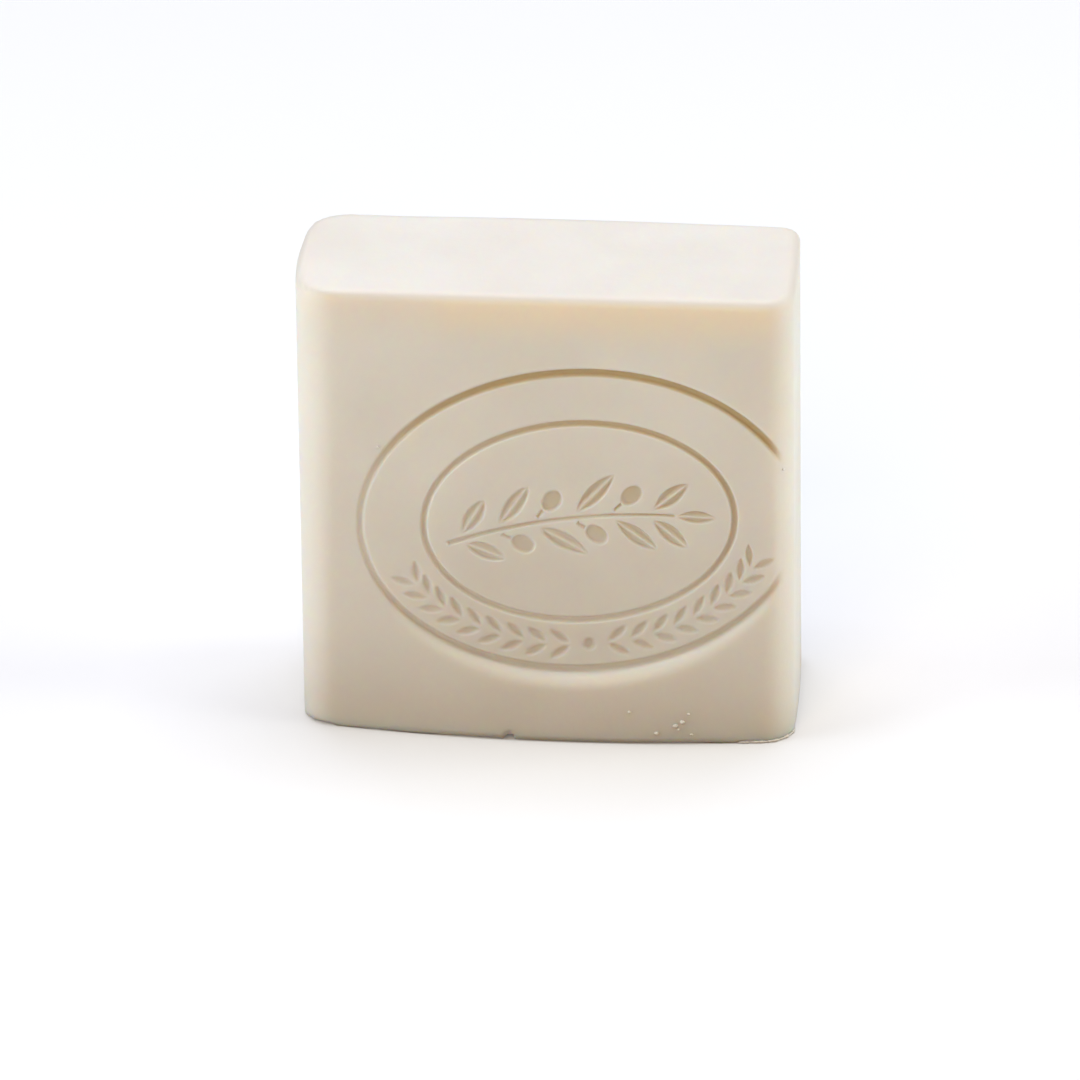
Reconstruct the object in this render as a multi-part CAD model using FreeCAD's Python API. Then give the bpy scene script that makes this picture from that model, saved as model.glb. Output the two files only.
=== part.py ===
import FreeCAD, Part
import math
import os

os.makedirs("parts", exist_ok=True)

V = FreeCAD.Vector

# Driving dimensions, in millimetres and degrees.
# The bar stands on one cut end: X across the stamped face, Y front to back, Z up.
BAR_HEIGHT = 70.0
BASE_WIDTH = 72.6
TOP_WIDTH = 71.9
BAR_DEPTH = 30.5
LEAN = 0.66             # the whole bar leans this far towards -X
LEFT_BULGE = 1.3        # how far the left narrow side bows out at its middle
RIGHT_BULGE = 0.35
BACK_BULGE = 0.95
BASE_BELLY = 3.2        # how far the front bows forward at the base
TOP_BELLY = 0.1         # and at the top
BASE_SKEW = 0.65        # at the base the front's right end stands this far forward, its left end back

# Roundings: the upright edges at front left, front right, back right and back left.
CORNER_RADII = (5.4, 4.3, 2.8, 5.8)
TOP_EDGE_R = 1.3
CAP = 3.0               # the topmost stretch, where the sides stand plumb

# The press mark. The die was flat, set off centre and a little turned.
MARK_X = 4.8
MARK_Z = 35.0
MARK_TURN = 4.7         # turned anticlockwise as seen from the front
FLAT_STAND = 0.65       # the pressed flat's middle lies this far before the upright edges
PRESS_YAW = 0.4         # the die went in deeper on the right
PRESS_PITCH = 1.0       # and at the top
FLARE = 0.2             # sideways run of the pressed wall for each mm of its height
OUTER_A = 32.3          # half length and half height of the outer oval line
OUTER_B = 23.6
OUTER_LINE = 1.2
OUTER_DEPTH = 0.6
INNER_A = 22.9
INNER_B = 15.65
INNER_LINE = 0.9
INNER_DEPTH = 0.45

# The olive sprig inside the inner oval.
SPRIG_DEPTH = 0.4
STEM_FOOT = (-19.5, -2.4)
STEM_MIDDLE = (-2.5, 0.6)
STEM_TIP = (14.2, 0.2)
STEM_WIDTH = 0.7
NODES = 6               # places on the stem that carry leaves or olives
LEAF_LENGTH = 8.4
LEAF_WIDTH = 2.5
LEAF_SPREAD = 40.0
LEAF_RIB = 0.3          # the rib left standing down the middle of each leaf
OLIVE_A = 1.8
OLIVE_B = 1.35
STALK_LENGTH = 1.3

# The garland in the lower half of the band between the ovals.
GARLAND_DEPTH = 0.35
GARLAND_PAIRS = 9       # pairs of small leaves on each side of the bead
GARLAND_START = 6.0     # degrees from the lowest point of the band
GARLAND_END = 64.0
BAY_LENGTH = 3.6
BAY_WIDTH = 1.2
BAY_SPREAD = 34.0
BEAD_R = 0.95

CLEARANCE = 0.3         # how far the cutting shapes reach above the surface they cut
MARK_GAP = 0.25         # soap left standing between two neighbouring marks


def arc(start, middle, end):
    """Edge of the one circle through three points."""
    return Part.Arc(start, middle, end).toShape()


def bowed_side(start, bulge, end):
    """Centre and radius of the circle that a side follows when it bows out by the bulge."""
    along = (end - start).normalize()
    outward = V(along.y, -along.x, 0)
    curve = arc(start, (start + end) / 2 + outward * bulge, end).Curve
    return curve.Center, curve.Radius


def corner_centre(corner, radius, before, after):
    """Centre of a corner rounding that touches the two sides from within."""
    circles = [Part.Circle(centre, V(0, 0, 1), reach - radius) for centre, reach in (before, after)]
    crossings = [V(p.X, p.Y, p.Z) for p in circles[0].intersectCC(circles[1])]
    return min(crossings, key=corner.distanceToPoint)


def on_circle(centre, radius, *towards):
    """Point of a circle in the mean direction of the points given."""
    direction = V(0, 0, 0)
    for point in towards:
        direction += (point - centre).normalize()
    return centre + direction.normalize() * radius


def plan_outline(z, width, belly, skew):
    """Outline of the bar at height z: four bowed sides joined by round corners."""
    half = width / 2
    depth = BAR_DEPTH / 2
    shift = math.tan(math.radians(LEAN)) * (BAR_HEIGHT / 2 - z)
    front_left = V(shift - half, skew - depth, z)
    front_right = V(shift + half, -skew - depth, z)
    corners = [front_left, front_right, V(shift + half, depth, z), V(shift - half, depth, z)]
    bulges = (belly, RIGHT_BULGE, BACK_BULGE, LEFT_BULGE)
    sides = [bowed_side(corners[i], bulges[i], corners[(i + 1) % 4]) for i in range(4)]
    centres = [corner_centre(corners[i], CORNER_RADII[i], sides[i - 1], sides[i]) for i in range(4)]
    edges = []
    for i in range(4):
        middle, reach = sides[i]
        last_middle, last_reach = sides[i - 1]
        touch_in = on_circle(last_middle, last_reach, centres[i])
        touch_out = on_circle(middle, reach, centres[i])
        next_touch = on_circle(middle, reach, centres[(i + 1) % 4])
        edges.append(arc(touch_in, on_circle(centres[i], CORNER_RADII[i], touch_in, touch_out), touch_out))
        edges.append(arc(touch_out, on_circle(middle, reach, touch_out, next_touch), next_touch))
    return Part.Wire(edges)


def rim(solid, z):
    """The edges of a solid that lie at height z."""
    return [e for e in solid.Edges if all(abs(v.Z - z) < 1e-4 for v in e.Vertexes)]


def cut_block():
    """The block as cut from its strip, with the edges of its upper end rounded."""
    base = plan_outline(0, BASE_WIDTH, BASE_BELLY, BASE_SKEW)
    shoulder = plan_outline(BAR_HEIGHT - CAP, TOP_WIDTH, TOP_BELLY, 0)
    sides = Part.makeLoft([base, shoulder], True, True)
    cap = Part.Face(shoulder).extrude(V(0, 0, CAP))
    return sides.fuse(cap.makeFillet(TOP_EDGE_R, rim(cap, BAR_HEIGHT)))


# The marks are drawn on the die: X to the right, Y up, and Z out of the pressed flat.


def turned(vector, angle):
    """The vector turned anticlockwise by an angle."""
    return FreeCAD.Rotation(V(0, 0, 1), angle).multVec(vector)


def aimed(solids, angle, spot):
    """The marks turned to an angle and set down at a spot."""
    return [s.rotated(V(0, 0, 0), V(0, 0, 1), angle).translated(spot) for s in solids]


def oval_arcs(half_length, half_height):
    """The oval's four arcs, as centre, radius, first angle and last angle."""
    chord = math.hypot(half_length, half_height)
    short = (chord - half_length + half_height) / 2
    end_r = short * chord / half_length
    side_r = (chord - short) * chord / half_height
    turn = math.degrees(math.atan2(half_length, half_height))
    return (
        (V(half_length - end_r, 0, 0), end_r, -turn, turn),
        (V(0, half_height - side_r, 0), side_r, turn, 180 - turn),
        (V(end_r - half_length, 0, 0), end_r, 180 - turn, 180 + turn),
        (V(0, side_r - half_height, 0), side_r, 180 + turn, 360 - turn),
    )


def oval(half_length, half_height, margin, z):
    """Closed wire at height z above the flat, a margin outside the given oval."""
    edges = []
    for centre, radius, first, last in oval_arcs(half_length, half_height):
        circle = Part.Circle(centre + V(0, 0, z), V(0, 0, 1), radius + margin)
        edges.append(circle.toShape(math.radians(first), math.radians(last)))
    return Part.Wire(edges)


def pressed_flat():
    """The soap the flat die drove back: an oval with walls that flare outwards."""
    reach = BASE_BELLY + CLEARANCE
    margin = OUTER_LINE / 2
    foot = oval(OUTER_A, OUTER_B, margin, 0)
    mouth = oval(OUTER_A, OUTER_B, margin + FLARE * reach, reach)
    return Part.makeLoft([foot, mouth], True, True)


def oval_line(half_length, half_height, width, depth):
    """The four stretches of a line along an oval, with sloping sides and a narrow bottom."""
    stretches = []
    for centre, radius, first, last in oval_arcs(half_length, half_height):
        near = V(radius - width / 2, 0, 0)
        far = V(radius + width / 2, 0, 0)
        lift = V(0, 0, CLEARANCE)
        bottom = (V(radius - width / 6, 0, -depth), V(radius + width / 6, 0, -depth))
        profile = Part.Face(Part.makePolygon([near, *bottom, far, far + lift, near + lift, near]))
        stretch = profile.revolve(V(0, 0, 0), V(0, 0, 1), last - first)
        stretches += aimed([stretch], first, centre)
    return stretches


def pocket(edges, depth):
    """A flat-bottomed mark with the outline given at the level of the flat."""
    face = Part.Face(Part.Wire(edges))
    return face.translated(V(0, 0, -depth)).extrude(V(0, 0, depth + CLEARANCE))


def ribbed_leaf(length, width):
    """Two half leaves with the rib between them, the foot at the origin, pointing to +X."""
    halves = []
    for side in (-1, 1):
        foot = V(0, side * LEAF_RIB / 2, 0)
        tip = V(length, side * LEAF_RIB / 2, 0)
        edge = arc(foot, V(length / 2, side * width / 2, 0), tip)
        halves.append(pocket([edge, Part.makeLine(tip, foot)], SPRIG_DEPTH))
    return halves


def olive():
    """An olive on its short stalk, the stalk's foot at the origin, pointing to +X."""
    centre = V(STALK_LENGTH + MARK_GAP + OLIVE_A, 0, 0)
    fruit = Part.Ellipse(centre + V(OLIVE_A, 0, 0), centre + V(0, OLIVE_B, 0), centre).toShape()
    half = STEM_WIDTH / 4
    corners = [V(0, -half, 0), V(STALK_LENGTH, -half, 0), V(STALK_LENGTH, half, 0), V(0, half, 0)]
    stalk = Part.makePolygon(corners + corners[:1]).Edges
    return [pocket([fruit], SPRIG_DEPTH), pocket(stalk, SPRIG_DEPTH)]


def stem_point(along):
    """Spot and heading on the stem, at a share of the way from its foot to its tip."""
    line = Part.Arc(V(*STEM_FOOT, 0), V(*STEM_MIDDLE, 0), V(*STEM_TIP, 0))
    at = line.FirstParameter + (line.LastParameter - line.FirstParameter) * along
    heading = line.tangent(at)[0]
    return line.value(at), math.degrees(math.atan2(heading.y, heading.x))


def stem():
    """The stem, a slot along one arc that thins to half its width at the tip."""
    sides = []
    for side in (-1, 1):
        points = []
        for along in (0.0, 0.5, 1.0):
            spot, heading = stem_point(along)
            half = STEM_WIDTH / 2 * (1 - along / 2)
            points.append(spot + turned(V(0, side * half, 0), heading))
        sides.append(points)
    low, high = sides
    edges = [arc(*low), Part.makeLine(low[2], high[2]), arc(*reversed(high)), Part.makeLine(high[0], low[0])]
    return pocket(edges, SPRIG_DEPTH)


def sprig():
    """Stem, paired leaves that are longest in the middle, and olives on alternate sides."""
    marks = [stem()]
    for node in range(NODES):
        along = (node + 0.4) / NODES
        spot, heading = stem_point(along)
        length = LEAF_LENGTH * (0.7 + 0.3 * math.sin(math.pi * along))
        for side in (-1, 1):
            turn = heading + side * LEAF_SPREAD
            off = turned(V(MARK_GAP, side * (STEM_WIDTH / 2 + 2 * MARK_GAP), 0), heading)
            bears_olive = 0 < node < NODES - 1 and side == (-1) ** node
            growth = olive() if bears_olive else ribbed_leaf(length, LEAF_WIDTH)
            marks += aimed(growth, turn, spot + off)
    tip, heading = stem_point(1.0)
    last_leaf = ribbed_leaf(LEAF_LENGTH * 0.7, LEAF_WIDTH * 0.8)
    return marks + aimed(last_leaf, heading, tip + turned(V(MARK_GAP, 0, 0), heading))


def bay_leaf():
    """A small leaf, the foot at the origin, pointing to +X."""
    foot = V(0, 0, 0)
    tip = V(BAY_LENGTH, 0, 0)
    low = arc(foot, V(BAY_LENGTH / 2, -BAY_WIDTH / 2, 0), tip)
    high = arc(tip, V(BAY_LENGTH / 2, BAY_WIDTH / 2, 0), foot)
    return pocket([low, high], GARLAND_DEPTH)


def garland():
    """Pairs of small leaves that climb both ways from a bead at the lowest point."""
    a = (OUTER_A + INNER_A) / 2
    b = (OUTER_B + INNER_B) / 2
    marks = [pocket([Part.Circle(V(0, -b, 0), V(0, 0, 1), BEAD_R).toShape()], GARLAND_DEPTH)]
    step = (GARLAND_END - GARLAND_START) / (GARLAND_PAIRS - 1)
    for way in (-1, 1):
        for pair in range(GARLAND_PAIRS):
            t = math.radians(GARLAND_START + step * pair)
            spot = V(way * a * math.sin(t), -b * math.cos(t), 0)
            heading = math.degrees(math.atan2(b * math.sin(t), way * a * math.cos(t)))
            for side in (-1, 1):
                off = turned(V(0, side * MARK_GAP, 0), heading)
                marks += aimed([bay_leaf()], heading + side * BAY_SPREAD, spot + off)
    return marks


def onto_front(mark):
    """A mark moved from the die to its place on the front of the bar."""
    tilted = mark.rotated(V(0, 0, 0), V(0, 0, 1), MARK_TURN)
    facing = tilted.rotated(V(0, 0, 0), V(1, 0, 0), 90 - PRESS_PITCH)
    yawed = facing.rotated(V(0, 0, 0), V(0, 0, 1), PRESS_YAW)
    return yawed.translated(V(MARK_X, -BAR_DEPTH / 2 - FLAT_STAND, MARK_Z))


def soap_bar():
    """The finished bar, set down with its footprint centred on the origin."""
    lines = oval_line(OUTER_A, OUTER_B, OUTER_LINE, OUTER_DEPTH)
    lines += oval_line(INNER_A, INNER_B, INNER_LINE, INNER_DEPTH)
    marks = [onto_front(mark) for mark in lines + sprig() + garland()]
    bar = cut_block().cut([onto_front(pressed_flat())]).cut(marks)
    box = bar.optimalBoundingBox(False, False)
    return bar.Solids[0].translated(V(-box.Center.x, -box.Center.y, -box.ZMin))


soap_bar().exportStep("parts/soap_bar.step")
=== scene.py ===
import math

import bpy
import numpy as np
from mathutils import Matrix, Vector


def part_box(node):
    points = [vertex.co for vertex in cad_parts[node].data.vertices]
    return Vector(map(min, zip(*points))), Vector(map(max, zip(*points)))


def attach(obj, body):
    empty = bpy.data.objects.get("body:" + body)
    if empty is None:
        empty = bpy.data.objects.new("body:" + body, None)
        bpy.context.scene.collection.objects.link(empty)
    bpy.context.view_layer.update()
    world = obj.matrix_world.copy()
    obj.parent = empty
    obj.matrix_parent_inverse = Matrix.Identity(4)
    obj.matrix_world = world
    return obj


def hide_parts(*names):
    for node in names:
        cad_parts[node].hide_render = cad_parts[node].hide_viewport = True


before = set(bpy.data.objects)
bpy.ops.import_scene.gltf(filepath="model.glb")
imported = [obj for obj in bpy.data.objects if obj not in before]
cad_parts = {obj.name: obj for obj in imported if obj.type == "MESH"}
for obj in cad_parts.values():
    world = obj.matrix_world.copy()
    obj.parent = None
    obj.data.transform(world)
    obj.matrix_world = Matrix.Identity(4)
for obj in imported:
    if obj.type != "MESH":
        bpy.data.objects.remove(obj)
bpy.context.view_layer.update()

# The bar of soap.
# One piece of ivory olive oil soap, cast as a long strip, cut across into bars and stamped
# with a flat oval die while it was still soft. It stands on one cut end. Sizes are in
# millimetres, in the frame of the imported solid, and become metres when the mesh is filled.
MM = 0.001
low, high = (np.array(corner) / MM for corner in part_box("soap_bar"))
HEIGHT = high[2]
BASE_WIDTH, TOP_WIDTH = 72.6, 71.9
CAP = 3.0
LEAN = math.tan(math.radians(0.66))
BASE_BELLY, TOP_BELLY, BASE_SKEW = 3.2, 0.1, 0.65
LEFT_BULGE, RIGHT_BULGE, BACK_BULGE = 1.3, 0.35, 0.95
FRONT_LEFT_R, FRONT_RIGHT_R, BACK_RIGHT_R, BACK_LEFT_R = 5.4, 4.3, 2.8, 5.2
FOOT_LEFT_R = 3.8
TOP_EDGE_R, BASE_EDGE_R = 1.3, 0.4
FRONT_Y = low[1] + BASE_BELLY + BASE_SKEW**2 / (4 * BASE_BELLY)
BACK_Y = high[1] - BACK_BULGE
MIDDLE_Y = (FRONT_Y + BACK_Y) / 2
HALF_DEPTH = (BACK_Y - FRONT_Y) / 2
MIDDLE_X = high[0] - RIGHT_BULGE - BASE_WIDTH / 2 - LEAN * HEIGHT / 2

MARK_X, MARK_Z = MIDDLE_X + 4.8, 34.8
MARK_Y = FRONT_Y - 0.65
MARK_TURN = math.radians(4.7)
PRESS_YAW, PRESS_PITCH = math.tan(math.radians(0.4)), math.tan(math.radians(1.0))
OUTER_A, OUTER_B, OUTER_LINE, OUTER_DEPTH = 32.3, 23.6, 1.2, 0.6
INNER_A, INNER_B, INNER_LINE, INNER_DEPTH = 22.9, 15.65, 0.9, 0.45
FLARE = 0.2
RIM_SOFTNESS, LOWER_RIM_SOFTNESS = 0.5, 2.0
LEFT_EDGE_SHARE, LEFT_EDGE_RANGE = 0.5, (22.0, 34.0)
CHIP_HEIGHT, CHIP_RISE, CHIP_FALL = 0.6, (31.6, 32.3), (33.0, 35.5)
TICK_HEIGHT, TICK_X, TICK_WIDTH = 0.8, -5.3, 0.55


def rounded(a, b, r):
    """Two walls, each given as the distance outside it, met by a rounding of radius r:
    the hypotenuse of the two distances from the rounding's centre, less r."""
    a, b = a + r, b + r
    return np.minimum(np.maximum(a, b), 0) + np.hypot(np.maximum(a, 0), np.maximum(b, 0)) - r


def smooth_step(value, start, end):
    """Rises from 0 at start to 1 at end along 3t^2 - 2t^3."""
    t = np.clip((value - start) / (end - start), 0, 1)
    return t * t * (3 - 2 * t)


def on_die(x, z):
    """The place on the die of a point of the front: moved to its centre and turned back."""
    dx, dz = x - MARK_X, z - MARK_Z
    c, s = math.cos(MARK_TURN), math.sin(MARK_TURN)
    return dx * c + dz * s, dz * c - dx * s


def outside_oval(u, v, a, b):
    """Distance outside an ellipse: k0 (k0 - 1) / k1, with k0 and k1 the lengths of
    (u/a, v/b) and of (u/a^2, v/b^2)."""
    k0 = np.hypot(u / a, v / b)
    k1 = np.hypot(u / a**2, v / b**2) + 1e-9
    return k0 * (k0 - 1) / k1


# The sprig: stem through three points, six nodes, each with two leaves or a leaf and an olive.
# The garland: pairs of bay leaves from a bead. The wall of a mark slopes from the first number
# of its SLOPE, a distance inside its outline, to the second.
STEM = np.array(((-19.5, -2.4), (-2.5, 0.6), (14.2, 0.2)))
STEM_WIDTH = 0.7
NODES, FIRST_NODE = 6, 0.4
LEAF_LENGTH, LEAF_WIDTH, LEAF_SPREAD, LEAF_RIB = 8.4, 2.5, math.radians(40), 0.3
OLIVE_A, OLIVE_B, STALK = 1.8, 1.35, 1.3
GAP = 0.25
SPRIG_DEPTH = 0.4
GARLAND_PAIRS, GARLAND_START, GARLAND_END = 9, math.radians(6), math.radians(64)
BAY_LENGTH, BAY_WIDTH, BAY_SPREAD, BEAD_R = 3.6, 1.2, math.radians(34), 0.95
GARLAND_DEPTH = 0.35
LEAF_SLOPE, STEM_SLOPE = (-0.08, 0.22), (-0.1, 0.2)
FRUIT_SLOPE, STALK_SLOPE = (-0.1, 0.25), (-0.12, 0.12)
RIB_SHARE = 0.85


def stem_circle():
    """Centre and radius of the circle through the stem's three points."""
    (x1, y1), (x2, y2), (x3, y3) = STEM
    system = np.array(((x2 - x1, y2 - y1), (x3 - x1, y3 - y1))) * 2
    squares = (STEM**2).sum(1)
    centre = np.linalg.solve(system, squares[1:] - squares[0])
    return centre, np.hypot(*(STEM[0] - centre))


def stem_points(along):
    """Places and headings on the stem, at shares of its arc from foot to tip."""
    centre, radius = stem_circle()
    angles = np.arctan2(*(STEM - centre).T[::-1])
    at = angles[0] + (angles[2] - angles[0]) * along
    turn = math.copysign(math.pi / 2, angles[2] - angles[0])
    return centre + radius * np.stack((np.cos(at), np.sin(at)), -1), at + turn


def in_leaf_frame(u, v, foot, angle):
    """Along and across a leaf that grows from its foot at an angle."""
    du, dv = u - foot[0], v - foot[1]
    c, s = math.cos(angle), math.sin(angle)
    return du * c + dv * s, dv * c - du * s


def leaf_mark(u, v, foot, angle, length, width, rib):
    """A pressed leaf: half width (width/2)(1 - (2p/length - 1)^2), with a rib left standing."""
    p, q = in_leaf_frame(u, v, foot, angle)
    half = width / 2 * (1 - (2 * p / length - 1) ** 2)
    mark = smooth_step(half - abs(q), *LEAF_SLOPE)
    return mark * (1 - RIB_SHARE * np.exp(-((q / rib) ** 2))) if rib else mark


def sprig(u, v):
    """Depth of the sprig as a share of its full depth: the deepest of its marks."""
    centre, radius = stem_circle()
    off_stem = abs(np.hypot(u - centre[0], v - centre[1]) - radius)
    along = (u - STEM[0, 0]) / (STEM[2, 0] - STEM[0, 0])
    half = STEM_WIDTH / 2 * (1 - np.clip(along, 0, 1) / 2)
    depth = smooth_step(half - off_stem, *STEM_SLOPE) * ((along > 0) & (along < 1))
    for node in range(NODES):
        share = (node + FIRST_NODE) / NODES
        spot, heading = stem_points(np.array(share))
        length = LEAF_LENGTH * (0.7 + 0.3 * math.sin(math.pi * share))
        ahead = np.array((math.cos(heading), math.sin(heading)))
        aside = np.array((-ahead[1], ahead[0]))
        for side in (-1, 1):
            angle = heading + side * LEAF_SPREAD
            foot = spot + ahead * GAP + aside * side * (STEM_WIDTH / 2 + 2 * GAP)
            if 0 < node < NODES - 1 and side == (-1) ** node:
                p, q = in_leaf_frame(u, v, foot, angle)
                fruit = -outside_oval(p - STALK - GAP - OLIVE_A, q, OLIVE_A, OLIVE_B)
                stalk = np.minimum(STEM_WIDTH / 4 - abs(q), np.minimum(p, STALK - p))
                mark = np.maximum(smooth_step(fruit, *FRUIT_SLOPE), smooth_step(stalk, *STALK_SLOPE))
            else:
                mark = leaf_mark(u, v, foot, angle, length, LEAF_WIDTH, LEAF_RIB)
            depth = np.maximum(depth, mark)
    tip, heading = stem_points(np.array(1.0))
    foot = tip + np.array((math.cos(heading), math.sin(heading))) * GAP
    return np.maximum(depth, leaf_mark(u, v, foot, heading, LEAF_LENGTH * 0.7, LEAF_WIDTH * 0.8, LEAF_RIB))


def garland(u, v):
    """Depth of the garland as a share: leaf pairs up both sides of the band from a bead."""
    a, b = (OUTER_A + INNER_A) / 2, (OUTER_B + INNER_B) / 2
    depth = smooth_step(BEAD_R - np.hypot(u, v + b), *FRUIT_SLOPE)
    for way in (-1, 1):
        for t in np.linspace(GARLAND_START, GARLAND_END, GARLAND_PAIRS):
            spot = np.array((way * a * math.sin(t), -b * math.cos(t)))
            heading = math.atan2(b * math.sin(t), way * a * math.cos(t))
            aside = np.array((-math.sin(heading), math.cos(heading)))
            for side in (-1, 1):
                foot = spot + aside * side * GAP
                mark = leaf_mark(u, v, foot, heading + side * BAY_SPREAD, BAY_LENGTH, BAY_WIDTH, 0)
                depth = np.maximum(depth, mark)
    return depth


def line_share(distance, width):
    """Depth of a pressed line as a share, by distance from its middle."""
    return 1 - smooth_step(abs(distance), width / 5, width / 2 + 0.2)


def die_depth(u, v):
    """How far the die's own relief went in behind its flat."""
    outer = outside_oval(u, v, OUTER_A, OUTER_B)
    inner = outside_oval(u, v, INNER_A, INNER_B)
    depth = OUTER_DEPTH * line_share(outer, OUTER_LINE) + INNER_DEPTH * line_share(inner, INNER_LINE)
    return depth + SPRIG_DEPTH * sprig(u, v) + GARLAND_DEPTH * garland(u, v)


def worn_foot(x, y):
    """Height of the foot's edge above the ground where it is worn: chipped at the lower left
    corner, with one small tick further along. Both fade out towards the back."""
    near_front = 1 - smooth_step(y, FRONT_Y - BASE_BELLY + 1.0, FRONT_Y + 4.0)
    off_middle_x = x - MIDDLE_X
    chip = smooth_step(-off_middle_x, *CHIP_RISE) * (1 - smooth_step(-off_middle_x, *CHIP_FALL) / 2)
    tick = np.exp(-(((off_middle_x - TICK_X) / TICK_WIDTH) ** 2))
    return (CHIP_HEIGHT * chip + TICK_HEIGHT * tick) * near_front


def outside_block(x, y, z):
    """Distance outside the bar before it was stamped: four bowed walls with rounded corners,
    an upper end whose edge is rounded, less so at the left, and a nearly sharp foot."""
    rise = np.clip(z / (HEIGHT - CAP), 0, 1)
    half = (BASE_WIDTH + (TOP_WIDTH - BASE_WIDTH) * rise) / 2
    belly = BASE_BELLY + (TOP_BELLY - BASE_BELLY) * rise
    across = x - MIDDLE_X - LEAN * (HEIGHT / 2 - z)
    deep = y - MIDDLE_Y
    bow_x = 1 - (across / half) ** 2
    bow_y = 1 - (deep / HALF_DEPTH) ** 2
    front = -deep - HALF_DEPTH - belly * bow_x - BASE_SKEW * (1 - rise) * across / half
    back = deep - HALF_DEPTH - BACK_BULGE * bow_x
    left = -across - half - LEFT_BULGE * bow_y
    right = across - half - RIGHT_BULGE * bow_y
    front_left_r = FOOT_LEFT_R + (FRONT_LEFT_R - FOOT_LEFT_R) * rise
    plan = np.maximum(
        np.maximum(rounded(front, left, front_left_r), rounded(front, right, FRONT_RIGHT_R)),
        np.maximum(rounded(back, left, BACK_LEFT_R), rounded(back, right, BACK_RIGHT_R)),
    )
    upper_edge = TOP_EDGE_R * (1 - LEFT_EDGE_SHARE * smooth_step(-across, *LEFT_EDGE_RANGE))
    return rounded(rounded(plan, z - HEIGHT, upper_edge), worn_foot(x, y) - z, BASE_EDGE_R)


def outside_bar(p):
    """Distance outside the stamped bar. The die took away all in front of its flat, of its
    relief and of the wall that flares out round it. The rim so made is softly rounded, and
    more so below, where the die went deepest into the bowed front."""
    x, y, z = p.T
    block = outside_block(x, y, z)
    u, v = on_die(x, z)
    before_flat = MARK_Y + (x - MARK_X) * PRESS_YAW + (z - MARK_Z) * PRESS_PITCH - y
    off_wall = OUTER_LINE / 2 + FLARE * before_flat - outside_oval(u, v, OUTER_A, OUTER_B)
    pressed = np.minimum(before_flat + die_depth(u, v), off_wall / math.hypot(1, FLARE))
    softness = RIM_SOFTNESS + (LOWER_RIM_SOFTNESS - RIM_SOFTNESS) * smooth_step(-v, 6.0, OUTER_B)
    blend = np.maximum(softness - abs(block - pressed), 0) / softness
    return np.maximum(block, pressed) + blend * blend * softness / 4


def shoot(core, way, reach=30.0, steps=26):
    """Where rays from inside the bar leave it: each stretch is halved until it closes in."""
    near, far = np.zeros(len(core)), np.full(len(core), reach)
    for _ in range(steps):
        half = (near + far) / 2
        inside = outside_bar(core + way * half[:, None]) < 0
        near, far = np.where(inside, half, near), np.where(inside, far, half)
    return core + way * near[:, None]


# The grid: COLUMNS run outwards from the middle of the mark, over the front edges, along the
# sides and in to the middle of the back. Rows are ovals round the mark, close together on the
# pressed lines, then loops round the bar. The first and the last row fold into slits.
COLUMNS = 540
CORE, CORE_CORNER_R = 2.0, 3.0
TURN_FROM, TURN_TO = 12.0, 3.0
FACE_REACH, FACE_MARGIN, LOOP_REACH = 40.0, 1.2, 80.0
FADE_ROWS, SIDE_ROWS, BACK_ROWS = 14, 10, 10
MARK_SPAN = INNER_A - INNER_B
turn = np.arange(COLUMNS) * 2 * np.pi / COLUMNS


def oval_rows(b):
    """Points of ovals on the die with half heights b, in the frame of the bar's front."""
    spread = MARK_SPAN + (OUTER_A - OUTER_B - MARK_SPAN) * np.clip((b - INNER_B) / (OUTER_B - INNER_B), 0, 1)
    u, v = (b + spread) * np.cos(turn), b * np.sin(turn)
    c, s = math.cos(MARK_TURN), math.sin(MARK_TURN)
    return np.stack((MARK_X + u * c - v * s, MARK_Z + u * s + v * c), -1)


def outside_core(q):
    """Distance outside the rounded box that lies CORE inside the bar as seen from the front."""
    across = q[..., 0] - MIDDLE_X - LEAN * (HEIGHT / 2 - q[..., 1])
    half = BASE_WIDTH / 2 - CORE
    sides = np.maximum(-across - half, across - half)
    ends = np.maximum(CORE - q[..., 1], q[..., 1] - HEIGHT + CORE)
    return rounded(sides, ends, CORE_CORNER_R)


def last_inside(path, reach, margin):
    """How far each column may follow a path before it comes within margin of the core's edge."""
    near, far = np.zeros(COLUMNS), np.full(COLUMNS, reach)
    for _ in range(40):
        half = (near + far) / 2
        inside = outside_core(path(half)) < -margin
        near, far = np.where(inside, half, near), np.where(inside, far, half)
    return near


ray = oval_rows(OUTER_B) - (MARK_X, MARK_Z)
ray /= np.linalg.norm(ray, axis=1)[:, None]
run = last_inside(lambda r: (MARK_X, MARK_Z) + ray * r[:, None], LOOP_REACH, 0)
loop = (MARK_X, MARK_Z) + ray * run[:, None]
slope = np.stack([outside_core(loop + e) - outside_core(loop - e) for e in np.eye(2) * 0.001], -1)
outward = slope / np.linalg.norm(slope, axis=1)[:, None]
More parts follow.
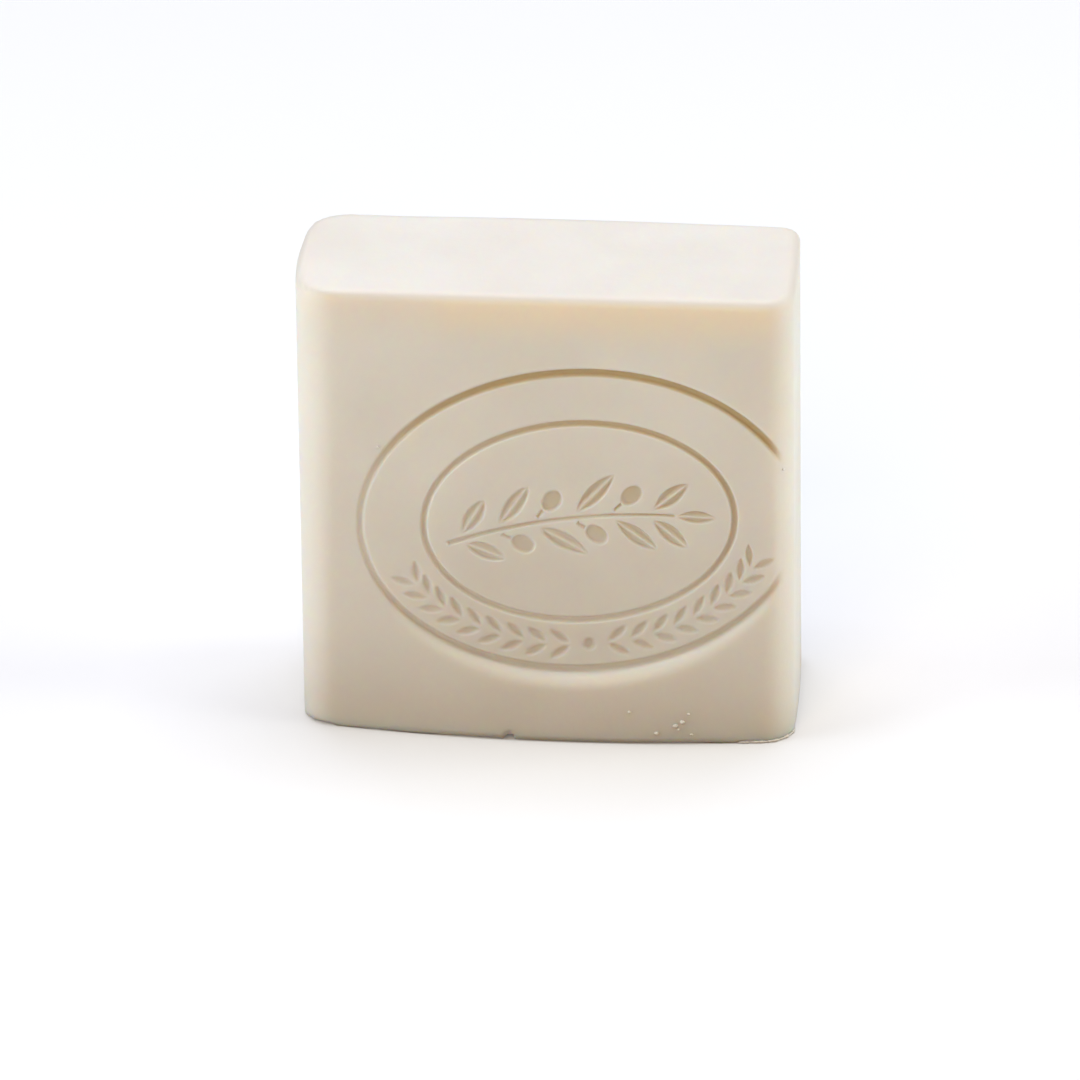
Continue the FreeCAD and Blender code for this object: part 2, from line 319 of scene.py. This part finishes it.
# Between TURN_FROM and TURN_TO from one of the core's corners the columns turn from square
# across to their own straight course, which spreads them evenly over the bar's corner.
off_side = BASE_WIDTH / 2 - CORE - abs(loop[:, 0] - MIDDLE_X - LEAN * (HEIGHT / 2 - loop[:, 1]))
off_end = HEIGHT / 2 - CORE - abs(loop[:, 1] - HEIGHT / 2)
straight_on = smooth_step(np.maximum(off_side, off_end), TURN_FROM, TURN_TO)[:, None]
outward += (ray - outward) * straight_on
outward /= np.linalg.norm(outward, axis=1)[:, None]
sprig_rows = np.arange(0, INNER_B - 0.6, 0.25)
inner_line_rows = np.linspace(INNER_B - 0.6, INNER_B + 0.6, 11)
band_rows = np.arange(INNER_B + 0.85, OUTER_B - 0.8, 0.26)
outer_line_rows = np.linspace(OUTER_B - 0.75, OUTER_B + 0.75, 13)
wall_rows = OUTER_B + np.concatenate((np.arange(0.85, 1.45, 0.1), np.arange(1.5, 4.2, 0.3)))
heights = np.concatenate((sprig_rows, inner_line_rows, band_rows, outer_line_rows, wall_rows))[:, None]
room = np.minimum(last_inside(oval_rows, FACE_REACH, FACE_MARGIN), heights[-1])
knee = room * 0.8
heights = np.where(heights > knee, knee + (heights - knee) * (room - knee) / (heights[-1] - knee), heights)
face = oval_rows(heights)
fade = np.linspace(0, 1, FADE_ROWS)[1:, None, None]
face = np.concatenate((face, face[-1] * (1 - fade) + loop * fade))

front_core = np.array((FRONT_Y + 2 * CORE, BACK_Y - 2 * CORE))
forward = np.array((0.0, -1.0, 0.0))
rows_core, rows_way = [], []
for flat in face:
    rows_core.append(np.stack((flat[:, 0], np.full(COLUMNS, MIDDLE_Y), flat[:, 1]), -1))
    rows_way.append(np.tile(forward, (COLUMNS, 1)))
sideways = np.stack((outward[:, 0], np.zeros(COLUMNS), outward[:, 1]), -1)
bend = np.radians((8, 14, 19, 24, 29, 34, 39, 44, 49, 55, 62, 70, 79, 90))
depths = np.linspace(front_core[0], front_core[1], SIDE_ROWS)
for angle in bend:
    rows_core.append(np.stack((loop[:, 0], np.full(COLUMNS, depths[0]), loop[:, 1]), -1))
    rows_way.append(forward * math.cos(angle) + sideways * math.sin(angle))
for depth in depths[1:-1]:
    rows_core.append(np.stack((loop[:, 0], np.full(COLUMNS, depth), loop[:, 1]), -1))
    rows_way.append(sideways)
for angle in bend[::-1]:
    rows_core.append(np.stack((loop[:, 0], np.full(COLUMNS, depths[-1]), loop[:, 1]), -1))
    rows_way.append(-forward * math.cos(angle) + sideways * math.sin(angle))
slit = oval_rows(0.0)
for share in np.linspace(1, 0, BACK_ROWS):
    flat = loop * share + slit * (1 - share)
    rows_core.append(np.stack((flat[:, 0], np.full(COLUMNS, MIDDLE_Y), flat[:, 1]), -1))
    rows_way.append(np.tile(-forward, (COLUMNS, 1)))

rows = len(rows_core)
points = shoot(np.concatenate(rows_core), np.concatenate(rows_way))

# A slit's two banks are one line of points, so each column there is numbered with its mirror.
number = np.arange(rows * COLUMNS).reshape(rows, COLUMNS)
mirror = np.minimum(np.arange(COLUMNS), -np.arange(COLUMNS) % COLUMNS)
number[0], number[-1] = number[0, mirror], number[-1, mirror]
left_side, right_side = number, np.roll(number, -1, 1)
quads = np.stack((left_side[1:], right_side[1:], right_side[:-1], left_side[:-1]), -1).reshape(-1, 4)
used, place = np.unique(quads, return_inverse=True)

mesh = bpy.data.meshes.new("soap_bar_finished")
mesh.from_pydata((points[used] * MM).tolist(), [], place.reshape(-1, 4).tolist())
mesh.validate()
mesh.polygons.foreach_set("use_smooth", np.ones(len(mesh.polygons), bool))
x, y, z = points[used].T
u, v = on_die(x, z)
# Painted shade: the pressed marks are painted warm tan by their depth, more towards the upper right, for the shade
# that falls in the grooves.
cut = np.clip(np.minimum(die_depth(u, v), -outside_block(x, y, z)) / OUTER_DEPTH, 0, 1)
mark = mesh.attributes.new("pressed", "FLOAT", "POINT")
mark.data.foreach_set("value", cut**0.7 * (0.25 + 0.65 * smooth_step(v + 0.4 * u, -10.0, 20.0)))
# Painted light: a warm, lighter band just under the front's top edge, stronger towards the right, for light coming
# through that edge.
below_edge = smooth_step(HEIGHT - z, 0.2, 1.2) * (1 - smooth_step(HEIGHT - z, 2.5, 9.0))
near_front = (1 - smooth_step(y - FRONT_Y, 1.0, 3.0)) * (1 - smooth_step(abs(x - MIDDLE_X), 31.0, 35.0))
edge = mesh.attributes.new("under_top_edge", "FLOAT", "POINT")
edge.data.foreach_set("value", below_edge * near_front * (0.25 + 0.75 * smooth_step(x, -24.0, -8.0)))
# Painted shade: the upper end's rounding is marked so that it is painted darker and given less subsurface light,
# which takes away its highlight.
facing = np.empty(len(mesh.vertices) * 3)
mesh.vertex_normals.foreach_get("vector", facing)
nx, ny, nz = facing.reshape(-1, 3).T
rounding = np.clip(2 * nz * np.hypot(nx, ny), 0, 1) * (z > HEIGHT - 2 * TOP_EDGE_R)
rim = mesh.attributes.new("top_rounding", "FLOAT", "POINT")
rim.data.foreach_set("value", rounding)
bar = bpy.data.objects.new("soap_bar_finished", mesh)
bpy.context.collection.objects.link(bar)

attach(bar, "root")
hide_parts("soap_bar")

soap = bpy.data.materials.new("ivory_soap")
soap.use_nodes = True
nodes, links = soap.node_tree.nodes, soap.node_tree.links
skin = nodes["Principled BSDF"]
skin.inputs["Subsurface Radius"].default_value = (1.0, 0.6, 0.3)
skin.inputs["Subsurface Scale"].default_value = 0.0036
skin.inputs["Specular IOR Level"].default_value = 0.2
where = nodes.new("ShaderNodeTexCoord")


def tone(red, green, blue):
    """A colour as it shows on screen, 0 to 255, turned into light."""
    shown = np.array((red, green, blue)) / 255
    light = np.where(shown <= 0.04045, shown / 12.92, ((shown + 0.055) / 1.055) ** 2.4)
    return (*light, 1.0)


def noise(scale, detail, roughness=0.5):
    """A soft cloud pattern that sits still on the bar."""
    node = nodes.new("ShaderNodeTexNoise")
    node.inputs["Scale"].default_value = scale
    node.inputs["Detail"].default_value = detail
    node.inputs["Roughness"].default_value = roughness
    links.new(where.outputs["Object"], node.inputs["Vector"])
    return node.outputs["Fac"]


def mix(factor, first, second):
    """Blend of two colours by a factor."""
    node = nodes.new("ShaderNodeMix")
    node.data_type = "RGBA"
    links.new(factor, node.inputs["Factor"])
    for socket, value in ((node.inputs["A"], first), (node.inputs["B"], second)):
        if isinstance(value, tuple):
            socket.default_value = value
        else:
            links.new(value, socket)
    return node.outputs["Result"]


def ramp(value, start, end, low_value=0.0, high_value=1.0):
    """A value carried from one range to another and held at its ends."""
    node = nodes.new("ShaderNodeMapRange")
    for name, number_in in (("From Min", start), ("From Max", end), ("To Min", low_value), ("To Max", high_value)):
        node.inputs[name].default_value = number_in
    links.new(value, node.inputs["Value"])
    return node.outputs["Result"]


cloud = ramp(noise(45, 3), 0.35, 0.65)
body_colour = mix(cloud, tone(224, 219, 209), tone(229, 225, 216))
# Painted shade in the pressed grooves.
painted_groove_shade = nodes.new("ShaderNodeAttribute")
painted_groove_shade.attribute_name = "pressed"
# Painted shade on the top rounding, which also thins its subsurface light below.
top_rounding_shade = nodes.new("ShaderNodeAttribute")
top_rounding_shade.attribute_name = "top_rounding"
rim_colour = mix(top_rounding_shade.outputs["Fac"], body_colour, tone(216, 210, 201))
# Painted light under the top edge of the front.
painted_edge_glow = nodes.new("ShaderNodeAttribute")
painted_edge_glow.attribute_name = "under_top_edge"
top_colour = mix(painted_edge_glow.outputs["Fac"], rim_colour, tone(234, 224, 203))
colour = mix(painted_groove_shade.outputs["Fac"], top_colour, tone(200, 175, 123))
links.new(colour, skin.inputs["Base Color"])
links.new(ramp(top_rounding_shade.outputs["Fac"], 0, 1, 0.9, 0.1), skin.inputs["Subsurface Weight"])
links.new(ramp(noise(300, 3), 0.3, 0.7, 0.42, 0.55), skin.inputs["Roughness"])
grain = nodes.new("ShaderNodeBump")
grain.inputs["Strength"].default_value = 0.12
grain.inputs["Distance"].default_value = 0.0004
links.new(noise(700, 4, 0.6), grain.inputs["Height"])
links.new(grain.outputs["Normal"], skin.inputs["Normal"])
mesh.materials.append(soap)

# The crumbs: small flakes rubbed off the foot's edge that stuck to the front, most of them
# near the lower right corner. Each is an uneven ball half sunk in the bar: its radius varies
# as 1 + 0.25 sin(3 longitude + a) cos(2 latitude + b), with a and b from a fixed seed.
CRUMB_X = np.array((12.8, 16.8, 19.6, 20.7, 21.6, 22.0, -24.4, 34.9, 20.1))
CRUMB_Z = np.array((5.2, 1.8, 3.0, 3.6, 4.9, 1.6, 45.8, 43.6, 2.4))
CRUMB_R = np.array((0.27, 0.36, 0.4, 0.38, 0.25, 0.24, 0.3, 0.25, 0.24))
AROUND, RINGS = 12, 7
CRUMB_UNEVEN, CRUMB_FLAT = 0.25, 0.8
seats = np.stack((CRUMB_X, np.full(len(CRUMB_X), MIDDLE_Y), CRUMB_Z), -1)
seats = shoot(seats, np.tile(forward, (len(seats), 1)))
dice = np.random.default_rng(7)
phase_a, phase_b = dice.uniform(0, 2 * np.pi, (2, len(seats), 1, 1))
longitude = np.arange(AROUND)[None, None, :] * 2 * np.pi / AROUND
latitude = np.linspace(-np.pi / 2, np.pi / 2, RINGS + 2)[None, 1:-1, None]
swell = 1 + CRUMB_UNEVEN * np.sin(3 * longitude + phase_a) * np.cos(2 * latitude + phase_b)
radius = CRUMB_R[:, None, None] * swell
ball = np.stack((
    radius * np.cos(latitude) * np.cos(longitude),
    radius * np.cos(latitude) * np.sin(longitude),
    radius * np.sin(latitude) * np.ones_like(longitude) * CRUMB_FLAT,
), -1)
poles = np.array(((0, 0, -CRUMB_FLAT), (0, 0, CRUMB_FLAT))) * CRUMB_R[:, None, None]
shell = np.concatenate((ball.reshape(len(seats), -1, 3), poles), 1) + seats[:, None]
ring = np.arange(RINGS * AROUND).reshape(RINGS, AROUND)
ring_next = np.roll(ring, -1, 1)
sides = np.stack((ring[:-1], ring_next[:-1], ring_next[1:], ring[1:]), -1).reshape(-1, 4)
south = np.stack((np.full(AROUND, RINGS * AROUND), ring_next[0], ring[0]), -1)
north = np.stack((np.full(AROUND, RINGS * AROUND + 1), ring[-1], ring_next[-1]), -1)
first = np.arange(len(seats))[:, None, None] * shell.shape[1]
faces = (sides + first).reshape(-1, 4).tolist() + (np.concatenate((south, north)) + first).reshape(-1, 3).tolist()
crumb_mesh = bpy.data.meshes.new("soap_crumbs")
crumb_mesh.from_pydata((shell.reshape(-1, 3) * MM).tolist(), [], faces)
crumb_mesh.validate()
crumb_mesh.polygons.foreach_set("use_smooth", np.ones(len(crumb_mesh.polygons), bool))
crumbs = bpy.data.objects.new("soap_crumbs", crumb_mesh)
bpy.context.collection.objects.link(crumbs)
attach(crumbs, "root")
flake = soap.copy()
flake.name = "ivory_soap_flake"
dry = flake.node_tree.nodes["Principled BSDF"].inputs["Subsurface Weight"]
flake.node_tree.links.remove(dry.links[0])
dry.default_value = 0
crumb_mesh.materials.append(flake)

# The burr: a thin ragged thread of soap that the cutting wire left along the foot round the
# right front corner. It is a tube along the foot's edge whose radius swells and shrinks as a
# sum of three sines and closes to a point at both ends.
BURR_R, BURR_Z = 0.16, 0.22
BURR_CORE_X, BURR_CORE_Y = 31.0, 5.5
BURR_START, BURR_TURN = -108, 96
STEPS = 90
share = np.linspace(0, 1, STEPS)
angle = np.radians(BURR_START + BURR_TURN * share)
edge_way = np.stack((np.cos(angle), np.sin(angle), np.zeros(STEPS)), -1)
edge_core = np.tile((MIDDLE_X + BURR_CORE_X, FRONT_Y + BURR_CORE_Y, BURR_Z), (STEPS, 1))
line = shoot(edge_core, edge_way)
waves = np.sin(share * 31) + 0.7 * np.sin(share * 67 + 1) + 0.5 * np.sin(share * 113 + 2)
thick = BURR_R * (1 + 0.28 * waves) * np.sqrt(1 - (2 * share - 1) ** 6)
thick[0] = thick[-1] = 0
heading = np.gradient(line, axis=0)
heading /= np.linalg.norm(heading, axis=1)[:, None]
outwards = np.cross(heading, (0.0, 0.0, 1.0))
turn_round = np.arange(AROUND) * 2 * np.pi / AROUND
hoop = np.cos(turn_round)[None, :, None] * outwards[:, None] + np.sin(turn_round)[None, :, None] * (0, 0, 1)
tube = line[:, None] + hoop * thick[:, None, None]
strand = np.concatenate((tube[1:-1].reshape(-1, 3), tube[[0, -1], 0]))
ring = np.arange((STEPS - 2) * AROUND).reshape(STEPS - 2, AROUND)
ring_next = np.roll(ring, -1, 1)
sides = np.stack((ring[1:], ring_next[1:], ring_next[:-1], ring[:-1]), -1).reshape(-1, 4)
start = np.stack((np.full(AROUND, len(strand) - 2), ring[0], ring_next[0]), -1)
end = np.stack((np.full(AROUND, len(strand) - 1), ring_next[-1], ring[-1]), -1)
burr_mesh = bpy.data.meshes.new("foot_burr")
burr_mesh.from_pydata((strand * MM).tolist(), [], sides.tolist() + start.tolist() + end.tolist())
burr_mesh.validate()
burr_mesh.polygons.foreach_set("use_smooth", np.ones(len(burr_mesh.polygons), bool))
burr = bpy.data.objects.new("foot_burr", burr_mesh)
bpy.context.collection.objects.link(burr)
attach(burr, "root")
burr_mesh.materials.append(flake)

# The floor: a plain pale sheet that takes the bar's shadow. The light that it sends back up
# is dim and warm close to the bar and plain further out.
FLOOR_HALF = 4.0
floor_mesh = bpy.data.meshes.new("floor")
corners = [(x * FLOOR_HALF, y * FLOOR_HALF, 0) for x, y in ((-1, -1), (1, -1), (1, 1), (-1, 1))]
floor_mesh.from_pydata(corners, [], [(0, 1, 2, 3)])
floor = bpy.data.objects.new("floor", floor_mesh)
bpy.context.collection.objects.link(floor)
sheet = bpy.data.materials.new("pale_floor")
sheet.use_nodes = True
nodes, links = sheet.node_tree.nodes, sheet.node_tree.links
nodes.remove(nodes["Principled BSDF"])
path = nodes.new("ShaderNodeLightPath")
unlit_ray = nodes.new("ShaderNodeMath")
unlit_ray.operation = "MAXIMUM"
links.new(path.outputs["Is Glossy Ray"], unlit_ray.inputs[0])
links.new(path.outputs["Is Transmission Ray"], unlit_ray.inputs[1])
seen = nodes.new("ShaderNodeMath")
seen.operation = "MAXIMUM"
links.new(path.outputs["Is Camera Ray"], seen.inputs[0])
links.new(unlit_ray.outputs[0], seen.inputs[1])
white = nodes.new("ShaderNodeBsdfDiffuse")
white.inputs["Color"].default_value = (0.8, 0.8, 0.8, 1)
glow = nodes.new("ShaderNodeEmission")
glow.inputs["Strength"].default_value = 0.1
shown = nodes.new("ShaderNodeAddShader")
links.new(white.outputs[0], shown.inputs[0])
links.new(glow.outputs[0], shown.inputs[1])
where_on_floor = nodes.new("ShaderNodeTexCoord")
off_middle = nodes.new("ShaderNodeVectorMath")
off_middle.operation = "LENGTH"
links.new(where_on_floor.outputs["Object"], off_middle.inputs[0])
further_out = nodes.new("ShaderNodeMapRange")
further_out.inputs["From Min"].default_value = 0.04
further_out.inputs["From Max"].default_value = 0.075
links.new(off_middle.outputs["Value"], further_out.inputs["Value"])
sent_back = nodes.new("ShaderNodeMix")
sent_back.data_type = "RGBA"
sent_back.inputs["A"].default_value = (0.22, 0.13, 0.08, 1)
sent_back.inputs["B"].default_value = (0.75, 0.75, 0.75, 1)
links.new(further_out.outputs["Result"], sent_back.inputs["Factor"])
dim = nodes.new("ShaderNodeBsdfDiffuse")
links.new(sent_back.outputs["Result"], dim.inputs["Color"])
choice = nodes.new("ShaderNodeMixShader")
links.new(seen.outputs[0], choice.inputs[0])
links.new(dim.outputs[0], choice.inputs[1])
links.new(shown.outputs[0], choice.inputs[2])
links.new(choice.outputs[0], nodes["Material Output"].inputs["Surface"])
floor_mesh.materials.append(sheet)

# The light: a very dim room, a broad lamp overhead, one at each side and one high in front.
# Each has the colour that the bar's own colours were matched under.
world = bpy.data.worlds.new("room")
bpy.context.scene.world = world
world.use_nodes = True
world.node_tree.nodes["Background"].inputs["Color"].default_value = (1, 1, 1, 1)
world.node_tree.nodes["Background"].inputs["Strength"].default_value = 0.01


def lamp(name, place, size, power, colour=(1, 1, 1)):
    """A square soft lamp aimed at the middle of the bar."""
    light = bpy.data.lights.new(name, "AREA")
    light.size = size
    light.energy = power
    light.color = colour
    holder = bpy.data.objects.new(name, light)
    aim = np.array((0, 0, HEIGHT / 2 * MM)) - place
    level = math.hypot(aim[0], aim[1])
    holder.location = place
    holder.rotation_euler = (math.atan2(level, -aim[2]), 0, math.atan2(-aim[0], aim[1]))
    bpy.context.collection.objects.link(holder)


lamp("overhead", (0.0, 0.25, 1.3), 1.0, 15.9, (0.842, 0.865, 0.99))
lamp("left_side", (-1.15, -0.3, 0.45), 0.8, 9.2, (0.869, 0.963, 1.0))
lamp("right_side", (1.2, 0.0, 0.45), 0.8, 9.8, (0.978, 1.0, 0.911))
lamp("high_front", (-0.2, -1.3, 0.9), 0.8, 8.8, (1.0, 0.788, 0.546))

# The camera: a long lens, a little to the right of the front and above it.
AZIMUTH, ELEVATION = math.radians(4.15), math.radians(24.5)
DISTANCE = 1.1
PIXELS_PER_MM = 6.7
PICTURE_WIDTH = 1080
SENSOR = 36.0
target = np.array((MIDDLE_X - 2.03, MIDDLE_Y, 24.47)) * MM
back_to_camera = np.array((
    math.sin(AZIMUTH) * math.cos(ELEVATION),
    -math.cos(AZIMUTH) * math.cos(ELEVATION),
    math.sin(ELEVATION),
))
lens = bpy.data.cameras.new("camera")
lens.sensor_width = SENSOR
lens.lens = DISTANCE / MM * PIXELS_PER_MM * SENSOR / PICTURE_WIDTH
lens.clip_end = 20
camera = bpy.data.objects.new("camera", lens)
camera.location = target + back_to_camera * DISTANCE
camera.rotation_euler = (math.pi / 2 - ELEVATION, 0, AZIMUTH)
bpy.context.collection.objects.link(camera)
bpy.context.scene.camera = camera
bpy.context.scene.view_settings.view_transform = "Standard"
